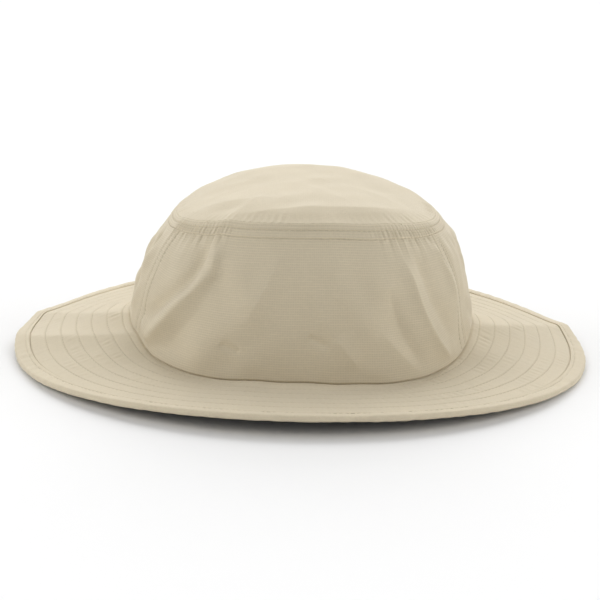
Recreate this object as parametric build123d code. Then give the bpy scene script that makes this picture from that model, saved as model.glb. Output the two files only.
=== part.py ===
from build123d import *
from math import atan2, ceil, cos, degrees, pi, radians, sin
import os

# Boonie hat, in millimetres. +Z is up, -Y is the wearer's front, +X is the wearer's left.
# The origin is on the floor, under the centre of the brim.

# Plan of the three rings that shape the hat: half width (X), half depth (Y), squareness
BRIM_PLAN = (160.8, 161.0, 2.0)
HEAD_PLAN = (95.9, 99.2, 2.4)
TIP_PLAN = (72.4, 79.0, 2.0)
TIP_CENTRE_X = 0.2

# Heights of those rings over the floor
HEAD_SEAM_Z = 13.3
HEAD_SIDE_RISE = 4.9
HEAD_QUARTER_RISE = 2.5
HEAD_SIDE_LEAN = -1.0
TIP_SEAM_Z = 86.6
TIP_SIDE_DROP = -5.1
TIP_QUARTER_RISE = -0.3
TIP_SIDE_LEAN = 0.7
CROWN_TOP_Z = 98.2
FRONT_LIFT = 8.5
REAR_LIFT = 8.0
LIFT_START = 0.3
LIFT_POWER = 1.5

# Crown outline: how the wall leans in, and how flat the top is
WALL_EVEN_LEAN = 0.385
WALL_LEAN_POWER = 3.26
WALL_LEAN_POWER_SIDEWAYS = 0.6
TOP_ROUNDNESS = 2.78
TOP_SIDE_ROUNDNESS = 0.77

# Cloth and fillings
CLOTH = 0.5
FOAM = 1.3
PLY_GAP = 0.15
BINDING_GAP = 0.3
CROWN_CLOTH = 0.8
TAPE = 0.5
SWEATBAND = 1.0
BINDING = 0.4
THREAD_RADIUS = 0.25
THREAD_GAP = 0.12

# Seams and widths
SEAM_ANGLE = 65.5
SEAM_GAP = 0.12
TIP_SEAM_GAP = 1.0
CROWN_START = 0.008
LINING_START = 0.015
BRIM_TUCK = 0.8
BINDING_WIDTH = 8.8
TIP_TAPE_WIDTH = 12.0
PANEL_TAPE_WIDTH = 12.0
SWEATBAND_TOP = 0.38
TAPE_TOP = 0.81
WALL_HEIGHT = 80.0
SWEATBAND_GAP = 0.35
PLY_EDGE_SETBACK = 1.15
TIP_TAPE_SETBACK = 2.5
MID_WALL = 0.4
THREAD_END_ANGLE = 0.35

# Stitching
QUILT_ROWS = 6
QUILT_FIRST = 0.065
QUILT_PITCH = 0.133
TIP_STITCH_DEPTHS = (3.3, 7.3)
PANEL_STITCH_OFFSETS = (1.8, 6.8)
PANEL_STITCH_START = 0.03
PANEL_STITCH_TOP_GAP = 1.2
BINDING_STITCH_INSET = 6.6
BINDING_STITCH_LIFT = 0.15

# Grid step for the curved faces
STEP_DEG = 5.0
TIP_GRID = 24
TIP_SPAN = 160.0
TIP_MARGIN = 4.0
STITCH_SAMPLE = 0.06
SECTION_SAMPLE = 0.1
BEND_STEPS = 8

BRIM_THICKNESS = 2 * CLOTH + FOAM + 2 * PLY_GAP


def ring(phi, plan, centre_x=0.0):
    """Plan point of a rounded ring at the angle phi (degrees, from +X towards +Y)."""
    half_x, half_y, squareness = plan
    c, s = cos(radians(phi)), sin(radians(phi))
    reach = (abs(c) ** squareness + abs(s) ** squareness) ** (-1 / squareness)
    return Vector(centre_x + half_x * c * reach, half_y * s * reach, 0)


def head_ring(phi):
    """The seam that joins the crown to the brim."""
    a = radians(phi)
    z = HEAD_SEAM_Z + HEAD_SIDE_RISE * cos(2 * a) + HEAD_QUARTER_RISE * cos(4 * a)
    return ring(phi, HEAD_PLAN) + Vector(0, 0, z + HEAD_SIDE_LEAN * cos(a))


def tip_ring(phi):
    """The seam that joins the flat top of the crown to its wall."""
    a = radians(phi)
    z = TIP_SEAM_Z + TIP_SIDE_DROP * cos(2 * a) + TIP_QUARTER_RISE * cos(4 * a)
    return ring(phi, TIP_PLAN, TIP_CENTRE_X) + Vector(0, 0, z + TIP_SIDE_LEAN * cos(a))


def brim_ring(phi):
    """The outer edge of the brim: both sides touch the floor, front and rear stand clear."""
    s = sin(radians(phi))
    lift = REAR_LIFT if s > 0 else FRONT_LIFT
    rise = max(0.0, (abs(s) - LIFT_START) / (1 - LIFT_START)) ** LIFT_POWER
    z = BRIM_THICKNESS + 2 * BINDING + lift * rise
    return ring(phi, BRIM_PLAN) + Vector(0, 0, z)


def wall(phi, t):
    """Outer face of the crown wall: t runs from 0 at the brim to 1 at the top seam."""
    low, high = head_ring(phi), tip_ring(phi)
    power = WALL_LEAN_POWER + WALL_LEAN_POWER_SIDEWAYS * cos(radians(phi))
    lean = WALL_EVEN_LEAN * t + (1 - WALL_EVEN_LEAN) * max(t, 0.0) ** power
    flat = low * (1 - lean) + high * lean
    return Vector(flat.X, flat.Y, low.Z + (high.Z - low.Z) * t)


def brim(phi, t):
    """Upper face of the brim: t runs from 0 at the outer edge to 1 at the crown."""
    return brim_ring(phi) * (1 - t) + head_ring(phi) * t


def top_height(x, y):
    """Height of the crown's top over a plan point."""
    phi = degrees(atan2(y / TIP_PLAN[1], (x - TIP_CENTRE_X) / TIP_PLAN[0]))
    rim = tip_ring(phi)
    span = (Vector(rim.X - TIP_CENTRE_X, rim.Y, 0)).length
    share = Vector(x - TIP_CENTRE_X, y, 0).length / span
    power = TOP_ROUNDNESS - TOP_SIDE_ROUNDNESS * cos(2 * radians(phi))
    return CROWN_TOP_Z - (CROWN_TOP_Z - rim.Z) * share ** power


def under(surface, phi, t, depth):
    """Point at a depth under a surface's outer face (a negative depth stands over it)."""
    along = surface(phi + 0.05, t) - surface(phi - 0.05, t)
    across = surface(phi, t + 0.001) - surface(phi, t - 0.001)
    return surface(phi, t) - along.cross(across).normalized() * depth


def spread(low, high, step):
    """Evenly spaced values from low to high, no further apart than step."""
    count = max(2, ceil((high - low) / step))
    return [low + (high - low) * i / count for i in range(count + 1)]


def skin(rows, thickness):
    """Solid cloth from a grid of points on its outer face."""
    face = Face.make_surface_from_array_of_points(rows, tol=0.02, min_deg=3, max_deg=5)
    return Solid.thicken(face, thickness)


def cloth(surface, phis, ts, depth, thickness):
    """Strip of cloth between two angles and two heights, at a depth under a surface."""
    columns = spread(phis[0], phis[1], STEP_DEG)
    rows = spread(ts[0], ts[1], 0.1)
    return skin([[under(surface, phi, t, depth) for phi in columns] for t in rows], thickness)


def cloth_ring(surface, ts, depth, thickness):
    """Closed ring of cloth, made as two halves that meet at the front and the rear."""
    halves = [cloth(surface, (low, low + 180), ts, depth, thickness) for low in (-90, 90)]
    return halves[0] + halves[1]


def lofted_ring(section):
    """Closed ring through a section at each angle, made as two halves that meet at the sides."""
    halves = []
    for low in (0, 180):
        sections = [section(phi) for phi in spread(low, low + 180, 2 * STEP_DEG)]
        halves.append(Solid.make_loft(sections))
    return halves[0] + halves[1]


def thread(points):
    """Six-sided thread along a line of points."""
    path = Wire([Edge.make_spline(points)])
    start = Plane(origin=path @ 0, z_dir=path % 0)
    return sweep(start * RegularPolygon(THREAD_RADIUS, 6), path=path)


def ring_thread(surface, t, cover=0.0):
    """Row of stitching round the hat, whose ends meet at the rear."""
    height = -(cover + THREAD_RADIUS + THREAD_GAP)
    angles = spread(90 + THREAD_END_ANGLE, 450 - THREAD_END_ANGLE, STEP_DEG)
    return thread([under(surface, phi, t, height) for phi in angles])


def degrees_per_mm(phi, t):
    """Angle on the crown wall that spans one millimetre."""
    return 1 / (wall(phi + 0.5, t) - wall(phi - 0.5, t)).length


def panel_seams():
    """Angle of each crown seam, with the side (+1 or -1) on which its stitching runs."""
    return {
        "front_right": (-90 - SEAM_ANGLE, 1),
        "front_left": (-90 + SEAM_ANGLE, -1),
        "rear_left": (90 - SEAM_ANGLE, 1),
        "rear_right": (90 + SEAM_ANGLE, -1),
    }


def crown_panels():
    """Four wall panels of the crown."""
    gap = SEAM_GAP * degrees_per_mm(0, 1) / 2
    spans = {
        "crown_front_panel": (-90 - SEAM_ANGLE, -90 + SEAM_ANGLE),
        "crown_left_side_panel": (-90 + SEAM_ANGLE, 90 - SEAM_ANGLE),
        "crown_rear_panel": (90 - SEAM_ANGLE, 90 + SEAM_ANGLE),
        "crown_right_side_panel": (90 + SEAM_ANGLE, 270 - SEAM_ANGLE),
    }
    ts = (CROWN_START, 1 - TIP_SEAM_GAP / WALL_HEIGHT)
    return {
        name: cloth(wall, (low + gap, high - gap), ts, 0, CROWN_CLOTH)
        for name, (low, high) in spans.items()
    }


def crown_tip():
    """Oval top panel: a domed cloth cut to the outline of the top seam."""
    half_x = TIP_PLAN[0] + TIP_MARGIN
    half_y = TIP_PLAN[1] + TIP_MARGIN
    xs = spread(TIP_CENTRE_X - half_x, TIP_CENTRE_X + half_x, TIP_SPAN / TIP_GRID)
    ys = spread(-half_y, half_y, TIP_SPAN / TIP_GRID)
    dome = skin([[Vector(x, y, top_height(x, y)) for x in xs] for y in ys], CROWN_CLOTH)
    outline = Ellipse(TIP_PLAN[0], TIP_PLAN[1])
    cutter = Pos(TIP_CENTRE_X, 0, CROWN_TOP_Z / 2) * extrude(outline, amount=CROWN_TOP_Z)
    return dome & cutter


def brim_plies():
    """Upper cloth, foam and lower cloth of the brim, one ring each."""
    width = BRIM_PLAN[0] - HEAD_PLAN[0]
    radius = BRIM_THICKNESS / 2 + BINDING
    ts = (PLY_EDGE_SETBACK * radius / width, 1 + BRIM_TUCK / width)
    return {
        "brim_upper_cloth": cloth_ring(brim, ts, 0, CLOTH),
        "brim_foam": cloth_ring(brim, ts, CLOTH + PLY_GAP, FOAM),
        "brim_lower_cloth": cloth_ring(brim, ts, CLOTH + FOAM + 2 * PLY_GAP, CLOTH),
    }


def edge_point(phi, inset, depth):
    """Point at an inset from the brim's edge and a depth under its upper face."""
    edge, seam = brim_ring(phi), head_ring(phi)
    level = Vector(edge.X, edge.Y, 0).normalized()
    slope = atan2(seam.Z - edge.Z, (edge - seam).dot(level))
    inward = Vector(0, 0, sin(slope)) - level * cos(slope)
    upward = Vector(0, 0, cos(slope)) + level * sin(slope)
    return edge + inward * inset - upward * depth


def binding_leg(radius, side):
    """One face of the folded binding: insets and depths from leg to leg round the bend."""
    middle = BRIM_THICKNESS / 2
    fold = middle + BINDING_GAP + BINDING
    bend = []
    for i in range(BEND_STEPS + 1):
        turn = pi * i / BEND_STEPS
        bend.append((fold - radius * sin(turn), middle - side * radius * cos(turn)))
    ends = [(BINDING_WIDTH, middle - side * radius), (BINDING_WIDTH, middle + side * radius)]
    return ends[:1] + bend + ends[1:]


def binding_section(phi):
    """Outline of the folded binding at one angle round the brim."""
    inner = BRIM_THICKNESS / 2 + BINDING_GAP
    outline = binding_leg(inner + BINDING, 1) + binding_leg(inner, -1)
    corners = [edge_point(phi, inset, depth) for inset, depth in outline]
    return Wire.make_polygon(corners, close=True)


def sweatband_section(phi):
    """Outline of the band that rests on the wearer's head, at one angle."""
    depth = CROWN_CLOTH + TAPE + SWEATBAND_GAP
    ts = spread(LINING_START, SWEATBAND_TOP, SECTION_SAMPLE)
    outer = [under(wall, phi, t, depth) for t in ts]
    inner = [under(wall, phi, t, depth + SWEATBAND) for t in reversed(ts)]
    return Wire.make_polygon(outer + inner, close=True)


def top_seam_tape():
    """Tape inside the crown that covers the allowance of the top seam."""
    high = 1 - TIP_TAPE_SETBACK * TIP_SEAM_GAP / WALL_HEIGHT
    low = high - TIP_TAPE_WIDTH / WALL_HEIGHT
    return cloth_ring(wall, (low, high), CROWN_CLOTH + PLY_GAP, TAPE)


def panel_seam_tape(phi):
    """Tape inside the crown that covers one panel seam."""
    half = PANEL_TAPE_WIDTH / 2 * degrees_per_mm(phi, MID_WALL)
    ts = (LINING_START, TAPE_TOP)
    return cloth(wall, (phi - half, phi + half), ts, CROWN_CLOTH + PLY_GAP, TAPE)


def panel_stitch(phi, side, offset):
    """Row of stitching beside a panel seam, from the brim to just under the top rows."""
    height = -(THREAD_RADIUS + THREAD_GAP)
    end = 1 - (TIP_STITCH_DEPTHS[1] + PANEL_STITCH_TOP_GAP) / WALL_HEIGHT
    points = []
    for t in spread(PANEL_STITCH_START, end, STITCH_SAMPLE):
        shift = side * offset * degrees_per_mm(phi, t)
        points.append(under(wall, phi + shift, t, height))
    return thread(points)


def quilting():
    """Concentric rows of stitching through the brim."""
    rows = {}
    for i in range(QUILT_ROWS):
        t = 1 - QUILT_FIRST - QUILT_PITCH * i
        rows[f"brim_quilting_row_{i + 1}"] = ring_thread(brim, t)
    return rows


def stitching():
    """All the other stitching that shows."""
    width = BRIM_PLAN[0] - HEAD_PLAN[0]
    rows = {}
    for name, depth in zip(("upper", "lower"), TIP_STITCH_DEPTHS):
        t = 1 - depth / WALL_HEIGHT
        rows[f"top_seam_stitching_{name}"] = ring_thread(wall, t)
    for seam, (phi, side) in panel_seams().items():
        for name, offset in zip(("inner", "outer"), PANEL_STITCH_OFFSETS):
            rows[f"{seam}_seam_stitching_{name}"] = panel_stitch(phi, side, offset)
    t = BINDING_STITCH_INSET / width
    rows["binding_stitching"] = ring_thread(brim, t, BINDING + BINDING_GAP + BINDING_STITCH_LIFT)
    return rows


def all_parts():
    """Every node of the hat by name."""
    parts = {"crown_tip": crown_tip()}
    parts.update(crown_panels())
    parts.update(brim_plies())
    parts["brim_binding"] = lofted_ring(binding_section)
    parts["sweatband"] = lofted_ring(sweatband_section)
    parts["top_seam_tape"] = top_seam_tape()
    for seam, (phi, side) in panel_seams().items():
        parts[f"{seam}_seam_tape"] = panel_seam_tape(phi)
    parts.update(quilting())
    parts.update(stitching())
    return parts


os.makedirs("parts", exist_ok=True)
nodes = all_parts()
floor = min(solid.bounding_box().min.Z for solid in nodes.values())
for name, solid in nodes.items():
    export_step(Pos(0, 0, -floor) * solid, f"parts/{name}.step")
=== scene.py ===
import math

import bpy
import numpy as np
from mathutils import Matrix, Vector


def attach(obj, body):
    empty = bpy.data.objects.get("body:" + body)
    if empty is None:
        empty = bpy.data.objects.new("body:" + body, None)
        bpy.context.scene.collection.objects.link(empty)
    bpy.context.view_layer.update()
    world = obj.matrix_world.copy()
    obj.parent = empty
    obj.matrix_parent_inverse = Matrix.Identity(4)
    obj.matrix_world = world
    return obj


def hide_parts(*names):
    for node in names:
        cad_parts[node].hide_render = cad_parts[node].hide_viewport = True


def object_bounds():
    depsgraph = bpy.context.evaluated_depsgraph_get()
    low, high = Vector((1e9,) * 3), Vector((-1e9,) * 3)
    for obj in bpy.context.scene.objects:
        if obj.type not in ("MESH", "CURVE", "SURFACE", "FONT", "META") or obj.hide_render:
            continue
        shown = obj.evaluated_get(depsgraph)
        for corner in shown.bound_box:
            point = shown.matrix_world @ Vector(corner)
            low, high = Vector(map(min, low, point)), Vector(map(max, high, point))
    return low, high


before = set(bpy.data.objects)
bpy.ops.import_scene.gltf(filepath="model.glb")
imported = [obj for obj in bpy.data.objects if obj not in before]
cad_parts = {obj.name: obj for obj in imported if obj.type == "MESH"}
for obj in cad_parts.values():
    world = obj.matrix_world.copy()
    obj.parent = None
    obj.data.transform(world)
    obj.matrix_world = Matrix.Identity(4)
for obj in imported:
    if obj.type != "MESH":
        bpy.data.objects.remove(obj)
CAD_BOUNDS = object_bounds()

# Boonie hat. Lengths are in millimetres until a mesh is made, and angles in degrees.
# +Z is up, -Y is the wearer's front. PHI runs from +X towards +Y, so the front is at -90.
MM = 0.001

# ---------------------------------------------------------------- driving dimensions
# Plan outlines: half widths across and front to back, and squareness (2 is an ellipse)
BRIM_PLAN = (160.8, 161.0, 2.0)
HEAD_PLAN = (95.9, 99.2, 2.4)
TIP_PLAN = (72.4, 79.0, 2.0)
TIP_CENTRE_X = 0.2
BRIM_WIDTH = BRIM_PLAN[0] - HEAD_PLAN[0]

# Height of the head seam: its mean, how far it rises at the sides and dips at the four
# corners, and its rise towards +X
HEAD_SEAM_Z, HEAD_SIDE_RISE, HEAD_CORNER_DIP, HEAD_TILT = 13.3, 4.9, 2.5, -1.0
# Height of the top seam, in the same way
TIP_SEAM_Z, TIP_SIDE_RISE, TIP_CORNER_DIP, TIP_TILT = 86.6, -5.1, -0.3, 0.7
# Angle, size and width of the top seam's bulges at both sides, and of its peak at the front right
TIP_BULGES = ((180, 1.6, 40), (0, 1.0, 40))
TIP_PEAK = (-124, 1.3, 5)
CROWN_TOP_Z = 98.2
# How the brim's edge rises off the floor to the front and rear
LIFT_START = 0.3
LIFT_POWER = 1.5
FRONT_LIFT = 8.5
REAR_LIFT = 8.0
# The crown wall leans in evenly at first and turns in faster towards the top
WALL_HEIGHT = 80.0
WALL_RADIUS = 92.0
SEAM_RADIUS = WALL_RADIUS + 3
EVEN_LEAN = 0.385
LEAN_POWER, LEAN_POWER_TILT = 3.26, 0.6
# The top falls away sooner towards the sides than towards the front and rear
DOME_POWER, DOME_POWER_SWING = 2.78, -0.77

CLOTH = 0.5
FOAM = 1.5
PLY_GAP = 0.05
CROWN_CLOTH = 0.6
BINDING = 0.4
TAPE = 0.5
SWEATBAND = 1.0
BRIM_THICKNESS = 2 * CLOTH + FOAM + 2 * PLY_GAP
EDGE_RADIUS = BRIM_THICKNESS / 2 + BINDING + PLY_GAP
BINDING_WIDTH = 8.8

SEAM_ANGLE = 65.5
TIP_STITCH_DEPTHS = (3.3, 7.3)
PANEL_STITCH_OFFSETS = (1.8, 6.8)
# Quilting rows, as shares of the brim's width from its outer edge
FIRST_QUILT_ROW, QUILT_SPACING = 0.935, 0.133
QUILT_ROWS = [FIRST_QUILT_ROW - QUILT_SPACING * i for i in range(6)]
BINDING_STITCH_INSET = 6.6
PANEL_STITCH_PITCH = 2.6
STITCH_PITCH = 3.0

# Unevenness of the hand-fed seams
HEAD_SEAM_WAVER = 0.35
TIP_SEAM_WAVER = 0.3

# Ends of the cloths: shares of the wall's height, and mm at the brim and the top seam
WALL_START = -0.02
LINING_START = 0.015
SWEATBAND_TOP = 0.38
TAPE_TOP = 0.81
BRIM_TUCK = 1.3
BRIM_CLOTH_SETBACK = 2.3
FOAM_SETBACKS = (3.0, 0.8)
TIP_TAPE_SETBACK = 2.5
PANEL_TAPE_WIDTH = 12.0
TIP_TAPE_WIDTH = 12.0
TAPE_DEPTH = CROWN_CLOTH + 0.3
SWEATBAND_DEPTH = CROWN_CLOTH + TAPE + 0.55

# Folded edges: how far each kind of cloth rolls under
CLOTH_EDGE_ROLL = 0.35
TOP_EDGE_ROLL = 0.45
FOOT_ROLL = 1.1
TAPE_EDGE_ROLL = 0.4

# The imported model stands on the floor; the formulas start this much higher.
FLOOR_DROP = CROWN_TOP_Z - CAD_BOUNDS[1][2] / MM

SEAMS = {
    "front_right": (-90 - SEAM_ANGLE, 1),
    "front_left": (-90 + SEAM_ANGLE, -1),
    "rear_left": (90 - SEAM_ANGLE, 1),
    "rear_right": (90 + SEAM_ANGLE, -1),
}


# ---------------------------------------------------------------- small maths
def cosd(a):
    """Cosine of an angle in degrees."""
    return np.cos(np.radians(a))


def sind(a):
    """Sine of an angle in degrees."""
    return np.sin(np.radians(a))


def smooth(low, high, x):
    """0 below low, 1 above high, with a smooth turn between."""
    s = np.clip((x - low) / (high - low), 0, 1)
    return s * s * (3 - 2 * s)


def bump(x, centre, width):
    """Bell of height 1 round a centre."""
    return np.exp(-(((x - centre) / width) ** 2))


def turn(angle):
    """Angle brought into -180 to 180."""
    return (angle + 180) % 360 - 180


def ring_waves(phi, seed, low, high, count=7):
    """Smooth repeatable noise round the hat, with whole waves so that its ends meet."""
    rng = np.random.default_rng(seed)
    total = np.zeros_like(np.asarray(phi, float))
    for _ in range(count):
        turns = rng.integers(low, high + 1)
        total += rng.uniform(0.5, 1) * np.sin(np.radians(phi * turns + rng.uniform(0, 360)))
    return total / math.sqrt(count)


def steps(low, high, coarse, focus=(), fine=0.0, reach=0.0):
    """Values from low to high, a coarse step apart and a fine one near each focus."""
    values = [np.linspace(low, high, max(2, int(round((high - low) / coarse)) + 1))]
    for centre in focus:
        count = int(round(2 * reach / fine)) + 1
        values.append(np.linspace(centre - reach, centre + reach, count))
    values = np.sort(np.concatenate(values))
    values = values[(values >= low) & (values <= high)]
    smallest = (fine or coarse) * 0.45
    kept = [low]
    for v in values:
        if v - kept[-1] > smallest:
            kept.append(v)
    kept[-1] = high
    return np.array(kept)


# ---------------------------------------------------------------- the hat's surfaces
def ring(phi, plan, centre_x=0.0):
    """Plan points of a rounded ring."""
    half_x, half_y, squareness = plan
    c, s = cosd(phi), sind(phi)
    reach = (abs(c) ** squareness + abs(s) ** squareness) ** (-1 / squareness)
    return np.stack([centre_x + half_x * c * reach, half_y * s * reach, 0 * c], -1)


def rounded(points, parts=6):
    """A smooth curve through the given points, as a finer polyline."""
    p = np.asarray(points, float)
    p = np.vstack([2 * p[0] - p[1], p, 2 * p[-1] - p[-2]])
    s = np.linspace(0, 1, parts, endpoint=False)[:, None]
    spans = []
    for a, b, c, d in zip(p, p[1:], p[2:], p[3:]):
        bend = (2 * a - 5 * b + 4 * c - d) * s**2 + (3 * b - a - 3 * c + d) * s**3
        spans.append(b + 0.5 * ((c - a) * s + bend))
    return np.vstack([*spans, p[-2:-1]])


def along_line(x, y, line):
    """Signed distance to a plan polyline (+ on its left) and the share of its length."""
    line = np.asarray(line, float)
    lengths = np.linalg.norm(np.diff(line, axis=0), axis=1)
    starts = np.concatenate([[0], np.cumsum(lengths)])
    best = np.full(np.shape(x), 1e9)
    signed = np.zeros(np.shape(x))
    share = np.zeros(np.shape(x))
    for i, (a, b) in enumerate(zip(line[:-1], line[1:])):
        ux, uy = (b - a) / lengths[i]
        s = (x - a[0]) * ux + (y - a[1]) * uy
        side = (y - a[1]) * ux - (x - a[0]) * uy
        inside = np.clip(s, 0, lengths[i])
        gap = np.hypot(s - inside, side)
        closer = gap < best
        best = np.where(closer, gap, best)
        signed = np.where(closer, np.where(side < 0, -gap, gap), signed)
        share = np.where(closer, (starts[i] + inside) / starts[-1], share)
    return signed, share


# Crests where the brim breaks from its flat rear part to its drooping sides: plan line,
# height, and how far it spreads towards the line's left and right. The radius rounds them.
CREST_RADIUS = 2.5
BRIM_CRESTS = [
    ([(84, -30), (119, -3), (147, 28), (162, 46)], 4.8, 22, 14),
    ([(-84, -28), (-118, -3), (-143, 26), (-158, 47)], 4.0, 14, 22),
    ([(-84, -49), (-121, -36), (-150, -17), (-164, 2)], 3.4, 12, 15),
]


def slump(x, y):
    """How far the brim and the foot of the crown lift over the plain shape."""
    lift = np.zeros(np.shape(x))
    for line, height, left, right in BRIM_CRESTS:
        d, _ = along_line(x, y, rounded(line))
        spread = np.where(d > 0, left, right)
        away = np.sqrt(d * d + CREST_RADIUS ** 2) - CREST_RADIUS
        lift = lift + height * np.exp(-away / spread)
    return lift


def head_ring(phi):
    """The seam that joins the crown to the brim."""
    z = HEAD_SEAM_Z + HEAD_SIDE_RISE * cosd(2 * phi) + HEAD_CORNER_DIP * cosd(4 * phi)
    z = z + HEAD_TILT * cosd(phi) - FLOOR_DROP
    p = ring(phi, HEAD_PLAN)
    p[..., 2] = z + slump(p[..., 0], p[..., 1]) + HEAD_SEAM_WAVER * ring_waves(phi, 3, 9, 26)
    return p


def tip_ring(phi):
    """The seam that joins the crown's top to its wall."""
    z = TIP_SEAM_Z + TIP_SIDE_RISE * cosd(2 * phi) + TIP_CORNER_DIP * cosd(4 * phi)
    z = z + TIP_TILT * cosd(phi) - FLOOR_DROP
    p = ring(phi, TIP_PLAN, TIP_CENTRE_X)
    for angle, height, width in TIP_BULGES:
        p[..., 0] += height * bump(turn(phi - angle), 0, width)
    angle, height, width = TIP_PEAK
    p[..., 2] = z + TIP_SEAM_WAVER * ring_waves(phi, 5, 7, 24)
    p[..., 2] += height * bump(turn(phi - angle), 0, width)
    return p


def brim_ring(phi):
    """The outer edge of the brim."""
    s = sind(phi)
    rise = np.maximum(0, (abs(s) - LIFT_START) / (1 - LIFT_START)) ** LIFT_POWER
    p = ring(phi, BRIM_PLAN)
    lift = np.where(s > 0, REAR_LIFT, FRONT_LIFT) * rise
    p[..., 2] = BRIM_THICKNESS + 2 * BINDING + lift - FLOOR_DROP
    return p


def plain_wall(phi, t):
    """Crown wall with no folds: t runs from 0 at the brim to 1 at the top seam."""
    low, high = head_ring(phi), tip_ring(phi)
    t = np.asarray(t)[..., None]
    power = LEAN_POWER + LEAN_POWER_TILT * cosd(phi)[..., None]
    lean = EVEN_LEAN * t + (1 - EVEN_LEAN) * np.maximum(t, 0) ** power
    flat = low * (1 - lean) + high * lean
    z = low[..., 2:] + (high[..., 2:] - low[..., 2:]) * t
    return np.concatenate([flat[..., :2], z], -1)


def plain_brim(phi, t):
    """Brim with no quilting: t runs from 0 at the outer edge to 1 at the crown."""
    low, high = brim_ring(phi), head_ring(phi)
    t = np.asarray(t)[..., None]
    p = low * (1 - t) + high * t
    flat = (1 - t[..., 0]) * slump(p[..., 0], p[..., 1])
    edge_share = t[..., 0] * (slump(p[..., 0], p[..., 1]) - slump(high[..., 0], high[..., 1]))
    p[..., 2] += flat + edge_share
    return p


def normals(surface, phi, t):
    """Unit vectors out of a surface."""
    along = surface(phi + 0.05, t) - surface(phi - 0.05, t)
    across = surface(phi, t + 0.001) - surface(phi, t - 0.001)
    n = np.cross(along, across)
    return n / np.linalg.norm(n, axis=-1, keepdims=True)


# ---------------------------------------------------------------- folds in the cloth
# Each fold of the crown wall: points (degrees round from the front, share of the height),
# height in mm (below 0 is a hollow), spread on the line's left and right, sharpness.
RIGHT_RIDGE = [(-35, 0.93), (-32.5, 0.71), (-36.5, 0.58), (-44, 0.41), (-57, 0.03)]
LEFT_RIDGE = [(38, 0.80), (41.5, 0.48), (47, 0.22), (54.5, 0.0)]
SEAM_RIDGE = [(57, 0.90), (58, 0.71), (59.5, 0.58), (60, 0.40)]
WALL_FOLDS = [
    (RIGHT_RIDGE, 0.5, 2.2, 2.4, 1.8),
    (RIGHT_RIDGE, 2.3, 4.2, 6.5, 1.8),
    ([(-39, 0.92), (-39.5, 0.72), (-43.5, 0.57), (-51, 0.41), (-60, 0.2)], -2.8, 4.5, 4.5, 2),
    ([(-29, 0.78), (-34, 0.48), (-41, 0.27), (-49, 0.03)], -2.4, 11, 6.5, 1.8),
    ([(-61, 0.20), (-53, 0.02)], 1.0, 2.5, 2.5, 1.3),
    (SEAM_RIDGE, 2.4, 3.2, 3.8, 1.4),
    (LEFT_RIDGE, 0.8, 1.8, 2.0, 1.4),
    (LEFT_RIDGE, 1.7, 4.5, 5.5, 1.7),
    ([(44.5, 0.82), (48, 0.50), (54.5, 0.22)], -2.2, 6, 4.5, 1.8),
    ([(30, 0.62), (33, 0.36), (40, 0.08)], -2.4, 6, 8, 1.6),
    ([(26, 0.34), (38, 0.06)], 0.9, 4, 4, 1.5),
    ([(11, 0.30), (18, 0.11)], 1.0, 5, 5, 1.3),
    ([(-7, 0.82), (-17, 0.40)], 1.0, 5, 6, 1.4),
    ([(-26, 0.24), (-19, 0.18)], -0.9, 2.2, 2.2, 1.6),
    ([(2, 0.30), (9, 0.24)], -0.9, 2.4, 2.4, 1.6),
    ([(14, 0.86), (9, 0.50)], 0.8, 7, 7, 1.6),
    ([(138, 0.86), (146, 0.52), (141, 0.16)], 1.9, 5, 7, 1.7),
    ([(152, 0.76), (158, 0.40), (150, 0.05)], -1.9, 6, 7, 1.8),
    ([(163, 0.92), (168, 0.55)], 1.0, 6, 7, 1.6),
    ([(-147, 0.80), (-139, 0.42), (-128, 0.06)], 2.1, 5, 6, 1.7),
    ([(-156, 0.70), (-149, 0.30), (-139, 0.02)], -2.0, 6, 7, 1.8),
    ([(-166, 0.90), (-163, 0.50)], 1.2, 7, 6, 1.6),
]


def wall_folds(phi, t):
    """Placed folds of the front panel and softer ones elsewhere, in mm outward."""
    angle = turn(phi + 90)
    x, y = angle * math.radians(WALL_RADIUS), t * WALL_HEIGHT
    total = np.zeros(np.broadcast(phi, t).shape)
    for path, height, left, right, power in WALL_FOLDS:
        line = [(a * math.radians(WALL_RADIUS), h * WALL_HEIGHT) for a, h in path]
        d, share = along_line(x, y, rounded(line))
        spread = np.where(d > 0, left, right)
        ends = smooth(-0.05, 0.22, share) * (1 - smooth(0.8, 1.02, share) * 0.6)
        total += height * ends * np.exp(-((np.abs(d) / spread) ** power))
    return total


SOFT_FOLD_COUNT = 16


def soft_folds(phi, t, seed):
    """Low random undulation of slack cloth, with whole waves round the hat, in mm."""
    rng = np.random.default_rng(seed)
    total = np.zeros(np.broadcast(phi, t).shape)
    for _ in range(SOFT_FOLD_COUNT):
        turns = rng.integers(6, 30)
        rise = rng.uniform(-3.0, 3.0)
        phase = rng.uniform(0, 360)
        total += np.sin(np.radians(phi * turns + 360 * rise * t + phase)) / (turns ** 0.5)
    return total


# Gathers under the top seam: how many go round the hat, how unevenly (degrees of phase),
# their height everywhere and at the two front corners, and how far down they fade out
GATHERS_ROUND, GATHER_WANDER = 190, 130
GATHER_HEIGHT, CORNER_GATHER_HEIGHT = 0.06, 0.42
GATHER_FADE = 4.5


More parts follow.
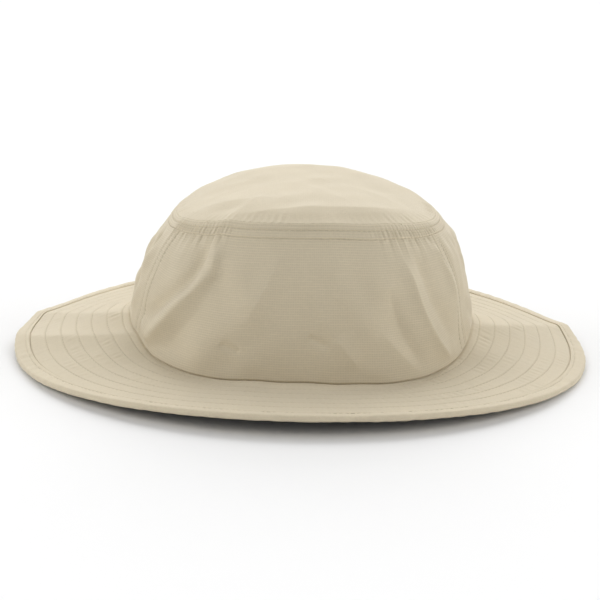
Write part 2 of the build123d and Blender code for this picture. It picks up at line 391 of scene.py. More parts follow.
def wall_puckers(phi, t):
    """Gathers where the top of the wall is eased into the seam."""
    depth = (1 - t) * WALL_HEIGHT
    angle = abs(turn(phi + 90))
    corner = smooth(24, 38, angle) * (1 - smooth(60, 70, angle)) + 0.3 * bump(angle, 118, 26)
    corner = corner * (0.8 + 0.3 * ring_waves(phi, 11, 20, 40))
    phase = GATHERS_ROUND * phi + GATHER_WANDER * ring_waves(phi, 8, 5, 16)
    ripple = sind(phase) + 0.45 * sind(1.7 * phase + 50)
    slow = sind(0.42 * phase + 30)
    rows = TIP_STITCH_DEPTHS
    between = bump(depth, sum(rows) / 2, 1.9) + 0.4 * bump(depth, rows[0] / 2, 1.3)
    under = np.maximum(depth - rows[1], 0)
    below = smooth(0, 1, under) * np.exp(-under / GATHER_FADE)
    height = GATHER_HEIGHT + CORNER_GATHER_HEIGHT * corner
    return height * between * ripple + corner * below * (0.7 * slow + 0.25 * ripple)


def groove(distance, depth, half_width):
    """Furrow that a row of stitches pulls into the cloth."""
    return -depth * np.exp(-((distance / half_width) ** 2))


def turned_edge(distance, radius):
    """How far a folded edge rolls under within a radius of its end."""
    near = np.clip(1 - distance / radius, 0, 1)
    return -radius * (1 - np.sqrt(np.maximum(1 - near * near, 0)))


def seam_scale(t):
    """Millimetres along the wall beside a panel seam, for each degree round the hat."""
    narrowing = 1 - 0.2 * np.maximum(t, 0) ** 2.5
    return math.radians(SEAM_RADIUS) * narrowing


# Furrows that rows of stitches and the edge of the binding pull in: depth and half width
TOP_ROW_GROOVE = (0.46, 0.34)
PANEL_ROW_GROOVE = (0.42, 0.55)
QUILT_GROOVE = (0.3, 0.45)
BINDING_EDGE_GROOVE = (0.35, 0.5)
BINDING_ROW_GROOVE = (0.25, 0.6)
# Folds behind the right front seam: degrees behind it, height and spread
SEAM_SIDE_FOLDS = ((-6.5, 1.7, 3.8), (-12.5, -2.6, 3.0))
SEAM_ALLOWANCE = 0.25


def wall_height(phi, t):
    """Everything that moves the crown wall off its plain shape, in mm outward."""
    depth = (1 - t) * WALL_HEIGHT
    foot = t * WALL_HEIGHT
    free = smooth(0, 9, foot) * smooth(7, 20, depth)
    front = smooth(0.0, 1.0, (SEAM_ANGLE + 4 - abs(turn(phi + 90))) / 6)
    side = bump(abs(turn(phi + 90)), 90, 24)
    slack = 0.35 + 0.25 * (1 - front)
    d = free * (wall_folds(phi, t) + slack * soft_folds(phi, t, 21))
    d = d + free * side * 0.55 * soft_folds(phi * 2, t, 29)
    behind = turn(phi + 90 + SEAM_ANGLE)
    d = d + free * sum(height * bump(behind, place, width) for place, height, width in SEAM_SIDE_FOLDS)
    d = d + wall_puckers(phi, t)
    last = TIP_STITCH_DEPTHS[1]
    d = d + SEAM_ALLOWANCE * smooth(0, 1.2, depth) * (1 - smooth(last - 0.6, last + 0.8, depth))
    for row in TIP_STITCH_DEPTHS:
        d = d + groove(depth - row, *TOP_ROW_GROOVE)
    dimples = 0.65 + 0.35 * np.cos(foot * 2 * np.pi / PANEL_STITCH_PITCH)
    ends = smooth(0, 2, foot) * smooth(last, last + 2, depth)
    for angle, toward in SEAMS.values():
        for offset in PANEL_STITCH_OFFSETS:
            gap = turn(phi - angle) * seam_scale(t) - toward * offset
            d = d + groove(gap, *PANEL_ROW_GROOVE) * dimples * ends
    return d


def wall_point(phi, t, over=0.0):
    """Point on the folded crown wall, or over it by a distance."""
    lift = wall_height(phi, t) + over
    return plain_wall(phi, t) + normals(plain_wall, phi, t) * lift[..., None]


# Fine gathers of the brim: their height, and where they start, as a share of its width
BRIM_GATHER_HEIGHT = 0.13
BRIM_GATHER_START = 0.135


def brim_puckers(phi, t):
    """Fine radial gathers that the quilting pulls into the brim."""
    total = np.zeros(np.broadcast(phi, t).shape)
    inset = t * BRIM_WIDTH
    edges = [BRIM_GATHER_START] + QUILT_ROWS[::-1] + [1.0]
    for i, (outer, inner) in enumerate(zip(edges, edges[1:])):
        middle, half = (outer + inner) / 2, (inner - outer) / 2
        inside = np.clip(1 - ((t - middle) / half) ** 2, 0, 1)
        pulls = 0.5 + 0.5 * ring_waves(phi, 40 + i, 3, 17)
        fine = ring_waves(phi, 60 + i, 110, 230, 9) + 0.6 * ring_waves(phi, 80 + i, 50, 90, 5)
        total += inside * np.clip(pulls, 0.1, 1.3) * fine
    return BRIM_GATHER_HEIGHT * total * smooth(8, 11, inset)


def brim_height(phi, t):
    """Everything that moves the upper face of the brim off its plain shape."""
    inset = t * BRIM_WIDTH
    d = brim_puckers(phi, t)
    for row in QUILT_ROWS:
        d = d + groove((t - row) * BRIM_WIDTH, *QUILT_GROOVE)
    d = d + groove(inset - BINDING_WIDTH, *BINDING_EDGE_GROOVE)
    d = d + 0.22 * ring_waves(phi, 90, 2, 9) * smooth(0.0, 0.3, t) * (1 - smooth(0.7, 1, t))
    return d


def brim_point(phi, t, over=0.0):
    """Point on the upper face of the brim, or over it by a distance."""
    lift = brim_height(phi, t) + over
    return plain_brim(phi, t) + normals(plain_brim, phi, t) * lift[..., None]


# ---------------------------------------------------------------- mesh helpers
def new_object(name, vertices, faces, uv=None):
    """Mesh object from points in mm, faces of four corners, and cloth places in mm."""
    mesh = bpy.data.meshes.new(name)
    mesh.vertices.add(len(vertices))
    mesh.vertices.foreach_set("co", (np.asarray(vertices, np.float32) * MM).ravel())
    faces = np.asarray(faces, np.int32)
    mesh.loops.add(faces.size)
    mesh.loops.foreach_set("vertex_index", faces.ravel())
    mesh.polygons.add(len(faces))
    mesh.polygons.foreach_set("loop_start", np.arange(0, faces.size, faces.shape[1]))
    mesh.polygons.foreach_set("use_smooth", np.full(len(faces), True))
    mesh.update(calc_edges=True)
    if uv is not None:
        layer = mesh.uv_layers.new(name="Cloth")
        layer.data.foreach_set("uv", np.asarray(uv, np.float32)[faces.ravel()].ravel())
    mesh.validate()
    obj = bpy.data.objects.new(name, mesh)
    bpy.context.collection.objects.link(obj)
    return obj


def quads(rows, columns, wrap):
    """Corner numbers of a grid's faces."""
    last = columns if wrap else columns - 1
    r, c = np.meshgrid(np.arange(rows - 1), np.arange(last), indexing="ij")
    right = (c + 1) % columns
    grid = np.stack([r * columns + c, r * columns + right, (r + 1) * columns + right,
                     (r + 1) * columns + c], -1)
    return grid.reshape(-1, 4)


def shell(name, outer, inner, uv, wrap=False):
    """Closed cloth of two faces and its edges, from matching grids of points."""
    rows, columns = outer.shape[:2]
    count = rows * columns
    front = quads(rows, columns, wrap)
    back = front[:, ::-1] + count
    around = np.arange(columns if wrap else columns - 1)
    following = (around + 1) % columns
    top = (rows - 1) * columns
    edges = [
        np.stack([following, around, around + count, following + count], -1),
        np.stack([around + top, following + top, following + top + count,
                  around + top + count], -1),
    ]
    if not wrap:
        up = np.arange(rows - 1) * columns
        far = up + columns - 1
        edges.append(np.stack([up, up + columns, up + columns + count, up + count], -1))
        edges.append(np.stack([far + columns, far, far + count, far + columns + count], -1))
    faces = np.concatenate([front, back] + edges)
    points = np.concatenate([outer.reshape(-1, 3), inner.reshape(-1, 3)])
    uv = uv.reshape(-1, 2)
    return new_object(name, points, faces, np.concatenate([uv, uv]))


# A stitch: radius of its thread, height of its middle over the cloth, how far its ends dive
# under that, and the share of the pitch that shows
THREAD_RADIUS = 0.15
THREAD_RISE = 0.05
THREAD_SINK = 0.22
THREAD_SHARE = 0.78
THREAD_SIDES, THREAD_RINGS = 6, 6


def thread_mesh(name, line, pitch):
    """Separate stitches along a line. line(s) gives points and normals at lengths s (mm)."""
    count = max(2, int(round(line.length / pitch)))
    sides, rings = THREAD_SIDES, THREAD_RINGS
    k = np.arange(count)[:, None]
    along = np.linspace(0, 1, rings)[None, :]
    s = (k + 0.5 + (along - 0.5) * THREAD_SHARE) * line.length / count
    points, up = line(s)
    ahead = line(s + 0.05)[0] - line(s - 0.05)[0]
    ahead /= np.linalg.norm(ahead, axis=-1, keepdims=True)
    side = np.cross(ahead, up)
    side /= np.linalg.norm(side, axis=-1, keepdims=True)
    arch = THREAD_RISE - THREAD_SINK * (2 * along - 1) ** 6
    thin = np.where((along == 0) | (along == 1), 0.5, 1.0)
    points = points + up * arch[..., None]
    a = np.linspace(0, 2 * np.pi, sides, endpoint=False)
    circle = (np.cos(a)[:, None] * side[:, :, None, :] + np.sin(a)[:, None] * up[:, :, None, :])
    tube = points[:, :, None, :] + circle * THREAD_RADIUS * thin[..., None, None]
    one = quads(rings, sides, True)
    faces = (one[None] + (np.arange(count) * rings * sides)[:, None, None]).reshape(-1, 4)
    return new_object(name, tube.reshape(-1, 3), faces[:, ::-1])


class RowLine:
    """Line of stitching on a surface, measured along its length."""

    def __init__(self, point, phis, ts):
        self.point, self.phis, self.ts = point, phis, ts
        places = point(phis, ts)
        gaps = np.linalg.norm(np.diff(places, axis=0), axis=1)
        self.lengths = np.concatenate([[0], np.cumsum(gaps)])
        self.length = self.lengths[-1]

    def __call__(self, s):
        phi = np.interp(s, self.lengths, self.phis)
        t = np.interp(s, self.lengths, self.ts)
        here = self.point(phi, t)
        along = self.point(phi + 0.1, t) - self.point(phi - 0.1, t)
        across = self.point(phi, t + 0.002) - self.point(phi, t - 0.002)
        up = np.cross(along, across)
        return here, up / np.linalg.norm(up, axis=-1, keepdims=True)


# ---------------------------------------------------------------- crown
def wall_uv(phi, t, middle):
    """Places on the flat cloth, in mm from a panel's middle and from the brim."""
    return np.stack([turn(phi - middle) * math.radians(WALL_RADIUS), t * WALL_HEIGHT], -1)


def crown_panel(name, middle, half):
    """One panel of the crown wall, with its edges turned under at every seam."""
    scale = math.radians(WALL_RADIUS)
    focus = [-half, half] + [s * (half - o / scale) for s in (-1, 1) for o in PANEL_STITCH_OFFSETS]
    angles = steps(-half, half, coarse=0.5 / scale, focus=focus, fine=0.14 / scale, reach=0.9 / scale)
    rows = [0, 1] + [1 - d / WALL_HEIGHT for d in TIP_STITCH_DEPTHS]
    heights = steps(WALL_START, 1.0, coarse=0.5 / WALL_HEIGHT, focus=rows, fine=0.13 / WALL_HEIGHT,
                    reach=1.1 / WALL_HEIGHT)
    offset, t = np.meshgrid(angles, heights)
    phi = middle + offset
    lift = wall_height(phi, t)
    lift += turned_edge((half - abs(offset)) * scale, CLOTH_EDGE_ROLL)
    lift += turned_edge((1 - t) * WALL_HEIGHT, TOP_EDGE_ROLL)
    lift += turned_edge(np.maximum(t, 0) * WALL_HEIGHT, FOOT_ROLL)
    n = normals(plain_wall, phi, t)
    base = plain_wall(phi, t)
    outer = base + n * lift[..., None]
    inner = base + n * (lift - CROWN_CLOTH)[..., None]
    return shell(name, outer, inner, wall_uv(phi, t, middle))


def top_profile(phi, r):
    """Height of the crown's top under CROWN_TOP_Z, as a share of its full drop."""
    return r ** (DOME_POWER + DOME_POWER_SWING * cosd(2 * phi))


# Creases of the crown's top: plan points, height, spread on each side, sharpness.
TIP_FOLDS = [
    ([(-47, -62), (-20, -65), (14, -61.5), (36, -53), (52, -37), (60, -20)], 2.1, 16, 11, 1.05),
    ([(-8, 2), (12, -30), (30, -54)], 0.7, 7, 9, 1.2),
    ([(-62, -26), (-36, -38), (-14, -44)], 0.7, 6, 9, 1.3),
    ([(-52, -44), (-30, -52)], -0.4, 6, 6, 1.5),
    ([(2, 10), (36, -12), (56, -24)], 0.5, 8, 8, 1.3),
    ([(-40, 30), (10, 48), (44, 34)], 0.8, 14, 10, 1.3),
]


def tip_folds(x, y):
    """Creases of the crown's top, in mm upward."""
    total = np.zeros(np.shape(x))
    for line, height, left, right, power in TIP_FOLDS:
        d, share = along_line(x, y, rounded(line))
        spread = np.where(d > 0, left, right)
        ends = smooth(-0.05, 0.25, share) * (1 - smooth(0.75, 1.05, share))
        total += height * ends * np.exp(-((np.sqrt(d * d + 1.0) / spread) ** power))
    return total


def crown_tip():
    """Domed oval top panel on a grid with no pole."""
    marks = steps(-1, 1, coarse=0.0085, focus=[-1, 1], fine=0.002, reach=0.02)
    u, v = np.meshgrid(marks, marks)
    x, y = u * np.sqrt(1 - v * v / 2), v * np.sqrt(1 - u * u / 2)
    r = np.clip(np.hypot(x, y), 0, 1)
    phi = np.degrees(np.arctan2(y, x))
    rim = tip_ring(phi)
    centre = np.array([TIP_CENTRE_X, 0, 0])
    p = centre + (rim - centre) * r[..., None]
    top = CROWN_TOP_Z - FLOOR_DROP
    p[..., 2] = top - (top - rim[..., 2]) * top_profile(phi, r)
    inset = (1 - r) * TIP_PLAN[0]
    fade = smooth(0, 9, inset)
    p[..., 2] += fade * (tip_folds(p[..., 0], p[..., 1]) + 0.25 * slow_noise(p[..., 0], p[..., 1]))
    ease = 0.16 * ring_waves(phi, 13, 60, 120, 9) * bump(inset, 3, 3.5)
    p[..., 2] += ease
    along_u = np.gradient(p, axis=1)
    along_v = np.gradient(p, axis=0)
    n = np.cross(along_u, along_v)
    n /= np.linalg.norm(n, axis=-1, keepdims=True)
    lift = turned_edge(inset, TOP_EDGE_ROLL)
    outer = p + n * lift[..., None]
    inner = p + n * (lift - CROWN_CLOTH)[..., None]
    return shell("crown_tip_cloth", outer, inner, p[..., :2])


def slow_noise(x, y):
    """Low wandering unevenness of a flat panel."""
    rng = np.random.default_rng(77)
    total = np.zeros(np.shape(x))
    for _ in range(12):
        a = rng.uniform(0, 2 * np.pi)
        k = 2 * np.pi / rng.uniform(18, 55)
        total += np.sin(k * (x * np.cos(a) + y * np.sin(a)) + rng.uniform(0, 6.28))
    return total / 3.5


# ---------------------------------------------------------------- brim
# The underside follows the quilting of the upper side a little less deeply
UNDER_SHARE = 0.8


def brim_sheet(name, upper):
    """Upper or lower cloth of the brim."""
    rows = list(QUILT_ROWS) + [1.0, BINDING_WIDTH / BRIM_WIDTH]
    step = 0.9 if upper else 1.6
    start, end = BRIM_CLOTH_SETBACK / BRIM_WIDTH, 1 + BRIM_TUCK / BRIM_WIDTH
    ts = steps(start, end, coarse=step / BRIM_WIDTH, focus=rows, fine=0.2 / BRIM_WIDTH,
               reach=1.0 / BRIM_WIDTH)
    phis = np.linspace(0, 360, 1260 if upper else 720, endpoint=False)
    phi, t = np.meshgrid(phis, ts)
    lift = brim_height(phi, t)
    if not upper:
        lift = -BRIM_THICKNESS - UNDER_SHARE * lift
    inner_edge = -0.35 * smooth(-1.2, 0.2, (t - 1) * BRIM_WIDTH)
    n = normals(plain_brim, phi, t)
    base = plain_brim(phi, t)
    out = 1 if upper else -1
    outer = base + n * (lift + out * inner_edge)[..., None]
    inner = outer - n * (out * CLOTH)
    uv = base[..., :2]
    if not upper:
        outer, inner = inner, outer
    return shell(name, outer, inner, uv, wrap=True)


def foam_ring():
    """Padding between the two cloths of the brim."""
    edge, foot = FOAM_SETBACKS
    ts = np.linspace(edge / BRIM_WIDTH, 1 - foot / BRIM_WIDTH, 90)
    phi, t = np.meshgrid(np.linspace(0, 360, 540, endpoint=False), ts)
    lift = brim_height(phi, t)
    n = normals(plain_brim, phi, t)
    base = plain_brim(phi, t)
    high = base + n * (lift - CLOTH - PLY_GAP)[..., None]
    low = base + n * (-CLOTH - PLY_GAP - FOAM - UNDER_SHARE * lift)[..., None]
    return shell("brim_foam_pad", high, low, base[..., :2], wrap=True)


def binding():
    """Folded strip over the edge of the brim."""
    cover = BINDING + PLY_GAP
    rows = [BINDING_STITCH_INSET, BINDING_WIDTH]
    legs = steps(EDGE_RADIUS, BINDING_WIDTH, coarse=0.5, focus=rows, fine=0.16, reach=0.9)
    legs = legs[::-1]
    bend = np.linspace(0, np.pi, 15)
    insets = np.concatenate([legs, EDGE_RADIUS * (1 - np.sin(bend[1:-1])), legs[::-1]])
    depths = np.concatenate([np.full(len(legs), -cover),
                             -cover + EDGE_RADIUS * (1 - np.cos(bend[1:-1])),
                             np.full(len(legs), BRIM_THICKNESS + cover)])
    slopes = np.concatenate([np.full(len(legs), 0.0), bend[1:-1], np.full(len(legs), np.pi)])
    walk = np.concatenate([[0], np.cumsum(np.hypot(np.diff(insets), np.diff(depths)))])
    ends = np.minimum(walk, walk[-1] - walk)
    row = groove(ends - (BINDING_WIDTH - BINDING_STITCH_INSET), *BINDING_ROW_GROOVE)
    row += turned_edge(ends, CLOTH_EDGE_ROLL)
    phi, inset = np.meshgrid(np.linspace(0, 360, 1080, endpoint=False), insets)
    t = inset / BRIM_WIDTH
    base = plain_brim(phi, t)
    up = normals(plain_brim, phi, t)
    out = plain_brim(phi, t - 0.001) - base
    out -= up * (out * up).sum(-1, keepdims=True)
    out /= np.linalg.norm(out, axis=-1, keepdims=True)
    face = up * np.cos(slopes)[:, None, None] + out * np.sin(slopes)[:, None, None]
    ripple = 0.10 * ring_waves(phi, 51, 50, 130, 9) + 0.16 * ring_waves(phi, 52, 9, 30, 7)
    ripple = ripple * smooth(0, 2, ends)[:, None]
    skin = base - up * depths[:, None, None] + face * (row[:, None] + ripple)[..., None]
    inner = skin - face * BINDING
    length = np.radians(phi) * BRIM_PLAN[0]
    uv = np.stack([length, np.broadcast_to(walk[:, None], phi.shape)], -1)
    return shell("brim_edge_binding", skin[::-1], inner[::-1], uv[::-1], wrap=True)


# ---------------------------------------------------------------- lining
# The lining follows this share of the wall's folds, and outward folds by no more than the slack
LINING_SHARE = 0.9
LINING_SLACK = 0.3


def lining(name, phis, ts, depth, thickness, wrap, middle=-90.0):
    """Band or tape inside the crown wall."""
    phi, t = np.meshgrid(phis, ts)
    n = normals(plain_wall, phi, t)
    base = plain_wall(phi, t)
    lift = np.minimum(wall_height(phi, t) * LINING_SHARE, LINING_SLACK) - depth
    edge = np.minimum(t - ts[0], ts[-1] - t) * WALL_HEIGHT
    face = lift - thickness - turned_edge(edge, TAPE_EDGE_ROLL)
    outer = base + n * lift[..., None]
    inner = base + n * face[..., None]
    return shell(name, outer, inner, wall_uv(phi, t, middle), wrap)


# ---------------------------------------------------------------- build everything
PIECES = {}


def keep(obj, slot, *nodes):
    """Registers a piece: its body, its material slot and the CAD nodes it stands for."""
    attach(obj, "root")
    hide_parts(*nodes)
    PIECES[obj.name] = (obj, slot)
    return obj


def build_crown():
    """The top and the four panels of the wall."""
    side = 90 - SEAM_ANGLE
    panels = {
        "crown_front_panel": (-90, SEAM_ANGLE),
        "crown_left_side_panel": (0, side),
        "crown_rear_panel": (90, SEAM_ANGLE),
        "crown_right_side_panel": (180, side),
    }
    for node, (middle, half) in panels.items():
        piece = keep(crown_panel(node + "_cloth", middle, half), "crown_cloth", node)
    tip = keep(crown_tip(), "crown_cloth", "crown_tip")


def build_brim():
    """The padding, its two cloths and the binding."""
    foam = keep(foam_ring(), "brim_foam", "brim_foam")
    for name, upper in (("brim_upper_cloth", True), ("brim_lower_cloth", False)):
        slot = "brim_cloth" if upper else "underbrim_cloth"
        piece = keep(brim_sheet(name + "_sheet", upper), slot, name)
    edge = keep(binding(), "binding_cloth", "brim_binding")


def build_lining():
    """The sweatband and the tapes over the seams."""
    around = np.linspace(0, 360, 720, endpoint=False)
    edges = [LINING_START, SWEATBAND_TOP]
    ts = steps(*edges, coarse=0.02, focus=edges, fine=0.002, reach=0.01)
    band = keep(lining("sweatband_cloth", around, ts, SWEATBAND_DEPTH, SWEATBAND, True),
                "sweatband_cloth", "sweatband")
    high = 1 - TIP_TAPE_SETBACK / WALL_HEIGHT
    low = high - TIP_TAPE_WIDTH / WALL_HEIGHT
    ts = steps(low, high, coarse=0.02, focus=[high], fine=0.002, reach=0.01)
    tape = keep(lining("top_seam_tape_strip", around, ts, TAPE_DEPTH, TAPE, True),
                "seam_tape", "top_seam_tape")
    for seam, (angle, _) in SEAMS.items():
        half = PANEL_TAPE_WIDTH / 2 / math.radians(WALL_RADIUS)
        phis = np.linspace(angle - half, angle + half, 15)
        ts = np.linspace(LINING_START, TAPE_TOP, 60)
        tape = keep(lining(seam + "_seam_tape_strip", phis, ts, TAPE_DEPTH, TAPE, False, angle),
                    "seam_tape", seam + "_seam_tape")


ROW_SAMPLES = 2400
BINDING_STITCH_SINK = 0.32
PANEL_ROW_START = 0.02
PANEL_ROW_TOP_GAP = 0.8


def build_stitching():
    """Every row of stitches. A row round the hat starts and ends at the rear."""
    around = np.linspace(90, 450, ROW_SAMPLES)
    for name, depth in zip(("upper", "lower"), TIP_STITCH_DEPTHS):
        line = RowLine(wall_point, around, np.full(ROW_SAMPLES, 1 - depth / WALL_HEIGHT))
        keep(thread_mesh(f"top_seam_stitches_{name}", line, STITCH_PITCH), "thread",
             f"top_seam_stitching_{name}")
    for i, t in enumerate(QUILT_ROWS):
        line = RowLine(brim_point, around, np.full(ROW_SAMPLES, t))
        keep(thread_mesh(f"brim_quilting_stitches_{i + 1}", line, STITCH_PITCH), "thread",
             f"brim_quilting_row_{i + 1}")
    cover = BINDING + PLY_GAP - BINDING_STITCH_SINK
    line = RowLine(lambda phi, t: plain_brim(phi, t) + normals(plain_brim, phi, t) * cover,
                   around, np.full(ROW_SAMPLES, BINDING_STITCH_INSET / BRIM_WIDTH))
    keep(thread_mesh("binding_stitches", line, STITCH_PITCH), "thread", "binding_stitching")
    top = 1 - (TIP_STITCH_DEPTHS[1] + PANEL_ROW_TOP_GAP) / WALL_HEIGHT
    heights = np.linspace(PANEL_ROW_START, top, 300)
    for seam, (angle, toward) in SEAMS.items():
        for name, offset in zip(("inner", "outer"), PANEL_STITCH_OFFSETS):
            line = RowLine(wall_point, angle + toward * offset / seam_scale(heights), heights)
            keep(thread_mesh(f"{seam}_seam_stitches_{name}", line, PANEL_STITCH_PITCH), "thread",
                 f"{seam}_seam_stitching_{name}")


# ---------------------------------------------------------------- materials
def node(tree, kind, **values):
    """New node, with values for its sockets or settings."""
    made = tree.nodes.new(kind)
    for key, value in values.items():
        if key in made.inputs:
            made.inputs[key].default_value = value
        else:
            setattr(made, key, value)
    return made


def maths(tree, operation, *operands):
    """Output of a maths node whose operands are numbers or other nodes' outputs."""
    made = tree.nodes.new("ShaderNodeMath")
    made.operation = operation
    for i, operand in enumerate(operands):
        if isinstance(operand, (int, float)):
            made.inputs[i].default_value = operand
        else:
            tree.links.new(operand, made.inputs[i])
    return made.outputs[0]


def mix_colour(tree, blend, factor, a, b):
    """Output of a node that mixes two colours."""
    made = tree.nodes.new("ShaderNodeMix")
    made.data_type = "RGBA"
    made.blend_type = blend
    for socket, value in ((made.inputs["Factor"], factor), (made.inputs["A"], a),
                          (made.inputs["B"], b)):
        if isinstance(value, (int, float)):
            socket.default_value = value
        elif isinstance(value, tuple):
            socket.default_value = (*value, 1)
        else:
            tree.links.new(value, socket)
    return made.outputs["Result"]


def grid_lines(tree, coordinate, pitch, sharpness):
    """Raised lines a pitch apart, from 0 to 1."""
    wave = maths(tree, "COSINE", maths(tree, "MULTIPLY", coordinate, 2 * math.pi / pitch))
    share = maths(tree, "MULTIPLY_ADD", wave, 0.5, 0.5)
    return maths(tree, "POWER", share, sharpness)


# Pitch of the ripstop grid in mm, strength of the fine colour flecks, and the cloth's sheen
GRID_PITCH = 1.24
FLECK_SHARE = 0.15
SHEEN = 0.15


def fabric(name, colour, grid=0.0, yarn=0.42, bump_mm=0.05):
    """Woven cloth: fine yarns, an optional ripstop grid, and slow shade changes."""
    material = bpy.data.materials.new(name)
    material.use_nodes = True
    tree = material.node_tree
    tree.nodes.clear()
    out = node(tree, "ShaderNodeOutputMaterial")
    shader = node(tree, "ShaderNodeBsdfPrincipled")
    shader.inputs["Sheen Weight"].default_value = SHEEN
    shader.inputs["Sheen Roughness"].default_value = 0.5
    shader.inputs["Specular IOR Level"].default_value = 0.25
    tree.links.new(shader.outputs[0], out.inputs["Surface"])
    place = node(tree, "ShaderNodeUVMap", uv_map="Cloth")
    split = node(tree, "ShaderNodeSeparateXYZ")
    tree.links.new(place.outputs[0], split.inputs[0])
    x, y = split.outputs[0], split.outputs[1]
    world = node(tree, "ShaderNodeTexCoord").outputs["Object"]
    blotch = node(tree, "ShaderNodeTexNoise", Scale=38.0, Detail=4.0, Roughness=0.55)
    fleck = node(tree, "ShaderNodeTexNoise", Scale=900.0, Detail=3.0, Roughness=0.6)
    tree.links.new(world, blotch.inputs["Vector"])
    tree.links.new(world, fleck.inputs["Vector"])
    warp = grid_lines(tree, x, yarn, 1.0)
    weft = grid_lines(tree, y, yarn, 1.0)
    relief = maths(tree, "MULTIPLY", maths(tree, "ADD", warp, weft), 0.5)
    tone = mix_colour(tree, "MIX", blotch.outputs["Fac"], tuple(c * 0.95 for c in colour),
                      tuple(min(1, c * 1.05) for c in colour))
    speck = maths(tree, "MULTIPLY_ADD", fleck.outputs["Fac"], FLECK_SHARE, 1 - FLECK_SHARE / 2)
    if grid > 0:
        across = grid_lines(tree, y, GRID_PITCH, 2.5)
        upright = grid_lines(tree, x, GRID_PITCH, 2.5)
        slub = node(tree, "ShaderNodeTexNoise", Scale=1.0, Detail=3.0, Roughness=0.6)
        stretch = node(tree, "ShaderNodeVectorMath", operation="MULTIPLY")
        tree.links.new(place.outputs[0], stretch.inputs[0])
        stretch.inputs[1].default_value = (0.07, 0.9, 1.0)
        tree.links.new(stretch.outputs[0], slub.inputs["Vector"])
        across = maths(tree, "MULTIPLY", across, maths(tree, "MULTIPLY", slub.outputs["Fac"], 1.6))
        lines = maths(tree, "MAXIMUM", across, maths(tree, "MULTIPLY", upright, 0.5))
        relief = maths(tree, "MULTIPLY_ADD", lines, 1.6, relief)
        speck = maths(tree, "MULTIPLY", speck, maths(tree, "MULTIPLY_ADD", lines, grid, 1 - grid / 2))
    grey = node(tree, "ShaderNodeCombineColor")
    for socket in grey.inputs[:3]:
        tree.links.new(speck, socket)
    tree.links.new(mix_colour(tree, "MULTIPLY", 1.0, tone, grey.outputs[0]),
                   shader.inputs["Base Color"])
    rough = maths(tree, "MULTIPLY_ADD", blotch.outputs["Fac"], 0.12, 0.78)
    tree.links.new(rough, shader.inputs["Roughness"])
    bumps = node(tree, "ShaderNodeBump", Strength=0.6, Distance=bump_mm * MM)
    tree.links.new(relief, bumps.inputs["Height"])
    tree.links.new(bumps.outputs[0], shader.inputs["Normal"])
    return material


def plain_matter(name, colour, roughness, scale, depth_mm):
    """Thread or padding: fine noise in colour and relief."""
    material = bpy.data.materials.new(name)
    material.use_nodes = True
    tree = material.node_tree
    shader = tree.nodes["Principled BSDF"]
    shader.inputs["Roughness"].default_value = roughness
    shader.inputs["Specular IOR Level"].default_value = 0.2
    noise = node(tree, "ShaderNodeTexNoise", Scale=scale, Detail=3.0)
    tree.links.new(node(tree, "ShaderNodeTexCoord").outputs["Object"], noise.inputs["Vector"])
    tone = mix_colour(tree, "MIX", noise.outputs["Fac"], tuple(c * 0.85 for c in colour),
                      tuple(min(1, c * 1.15) for c in colour))
    tree.links.new(tone, shader.inputs["Base Color"])
    bumps = node(tree, "ShaderNodeBump", Strength=0.5, Distance=depth_mm * MM)
    tree.links.new(noise.outputs["Fac"], bumps.inputs["Height"])
    tree.links.new(bumps.outputs[0], shader.inputs["Normal"])
    return material


KHAKI = (0.625, 0.547, 0.402)
# Near-black underbrim: a guessed cloth colour, set this dark partly to paint a deeper shadow on the
# floor under the lifted brim
UNDERBRIM_SHADOW_DARK = (0.045, 0.047, 0.050)
THREAD = (0.54, 0.475, 0.355)
SWEATBAND_COLOUR = (0.50, 0.45, 0.33)
TAPE_COLOUR = (0.55, 0.49, 0.36)
FOAM_COLOUR = (0.72, 0.70, 0.64)


def dress():
    """Gives each piece the material of its slot."""
    looks = {
        "crown_cloth": fabric("khaki_ripstop", KHAKI, grid=0.14),
        "crown_top_cloth": fabric("khaki_top_cloth", KHAKI, grid=0.035),
        "brim_cloth": fabric("khaki_brim_cloth", KHAKI),
        # The lower cloth's near-black colour partly paints the shadow under the brim
        "underbrim_cloth": fabric("shadow_dark_underbrim", UNDERBRIM_SHADOW_DARK),
        "binding_cloth": fabric("khaki_binding", tuple(c * 1.02 for c in KHAKI)),
        "sweatband_cloth": fabric("sweatband_twill", SWEATBAND_COLOUR, yarn=0.8, bump_mm=0.12),
        "seam_tape": fabric("woven_tape", TAPE_COLOUR, yarn=0.6),
        "brim_foam": plain_matter("padding", FOAM_COLOUR, 0.9, 700.0, 0.1),
        "thread": plain_matter("thread", THREAD, 0.7, 2500.0, 0.03),
    }
    for obj, slot in PIECES.values():
        obj.data.materials.clear()
        look = "crown_top_cloth" if obj.name == "crown_tip_cloth" else slot
        obj.data.materials.append(looks[look])


# ---------------------------------------------------------------- studio
# Camera: distance from its aim, angle over the floor, roll, the aim itself, lens and shift
CAMERA_DISTANCE = 1200.0
CAMERA_ELEVATION = 14.5
CAMERA_ROLL = 1.314
CAMERA_AIM = (0.0, 0.0, 29.25)
LENS = 127.728
SENSOR_WIDTH = 36
CAMERA_SHIFT = -0.002333
FLOOR_COLOUR = (0.88, 0.88, 0.88, 1)

# Suns: strength, width of the soft source, tilt off straight down, and turn round Z
LIGHTS = [
    ("rear_softbox", 2.88, 60, -55, 0),
    ("left_softbox", 1.70, 60, -64, 90),
    ("right_softbox", 1.58, 60, -64, -90),
    ("front_softbox", 0.84, 60, 54, 0),
]


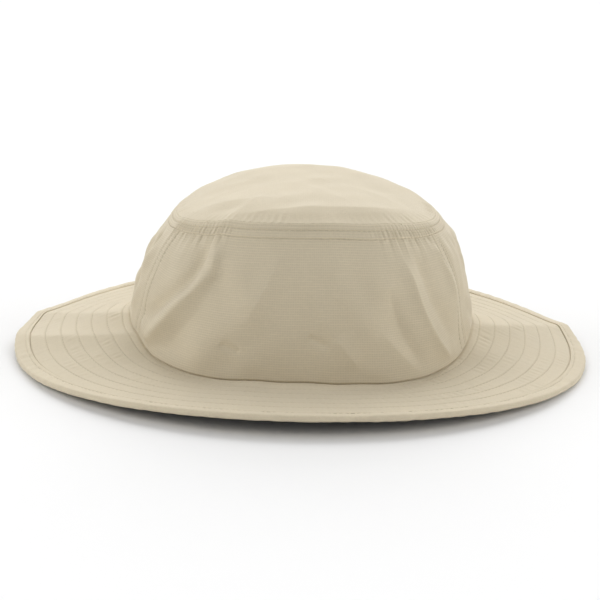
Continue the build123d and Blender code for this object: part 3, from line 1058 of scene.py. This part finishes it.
def studio():
    """Pale floor, wide soft lights, and a white sky that is seen but gives no light."""
    bpy.ops.mesh.primitive_plane_add(size=14)
    floor = bpy.context.object
    floor.name = "studio_floor"
    white = bpy.data.materials.new("studio_white")
    white.use_nodes = True
    shader = white.node_tree.nodes["Principled BSDF"]
    shader.inputs["Base Color"].default_value = FLOOR_COLOUR
    shader.inputs["Roughness"].default_value = 0.9
    shader.inputs["Specular IOR Level"].default_value = 0.1
    floor.data.materials.append(white)
    for name, strength, spread, tilt, turned in LIGHTS:
        light = bpy.data.lights.new(name, "SUN")
        light.energy = strength
        light.angle = math.radians(spread)
        lamp = bpy.data.objects.new(name, light)
        lamp.rotation_euler = (math.radians(tilt), 0, math.radians(turned))
        bpy.context.collection.objects.link(lamp)
    world = bpy.data.worlds.new("studio_sky")
    world.use_nodes = True
    sky = world.node_tree.nodes["Background"]
    sky.inputs["Color"].default_value = (1, 1, 1, 1)
    seen = world.node_tree.nodes.new("ShaderNodeLightPath").outputs["Is Camera Ray"]
    world.node_tree.links.new(seen, sky.inputs["Strength"])
    bpy.context.scene.world = world
    bpy.context.scene.view_settings.view_transform = "Standard"


def camera():
    """Places the camera so that the hat stands in the picture as photographed."""
    e, r = math.radians(CAMERA_ELEVATION), math.radians(CAMERA_ROLL)
    back = Vector((0, -math.cos(e), math.sin(e)))
    level = Vector((1, 0, 0))
    upright = back.cross(level)
    right = level * math.cos(r) + upright * math.sin(r)
    up = upright * math.cos(r) - level * math.sin(r)
    place = (Vector(CAMERA_AIM) + back * CAMERA_DISTANCE) * MM
    data = bpy.data.cameras.new("studio_camera")
    data.sensor_width = SENSOR_WIDTH
    data.lens = LENS
    data.shift_x = CAMERA_SHIFT
    data.clip_end = 50
    made = bpy.data.objects.new("studio_camera", data)
    made.matrix_world = Matrix(((right.x, up.x, back.x, place.x), (right.y, up.y, back.y, place.y),
                                (right.z, up.z, back.z, place.z), (0, 0, 0, 1)))
    bpy.context.collection.objects.link(made)
    bpy.context.scene.camera = made


build_crown()
build_brim()
build_lining()
build_stitching()
dress()
studio()
camera()
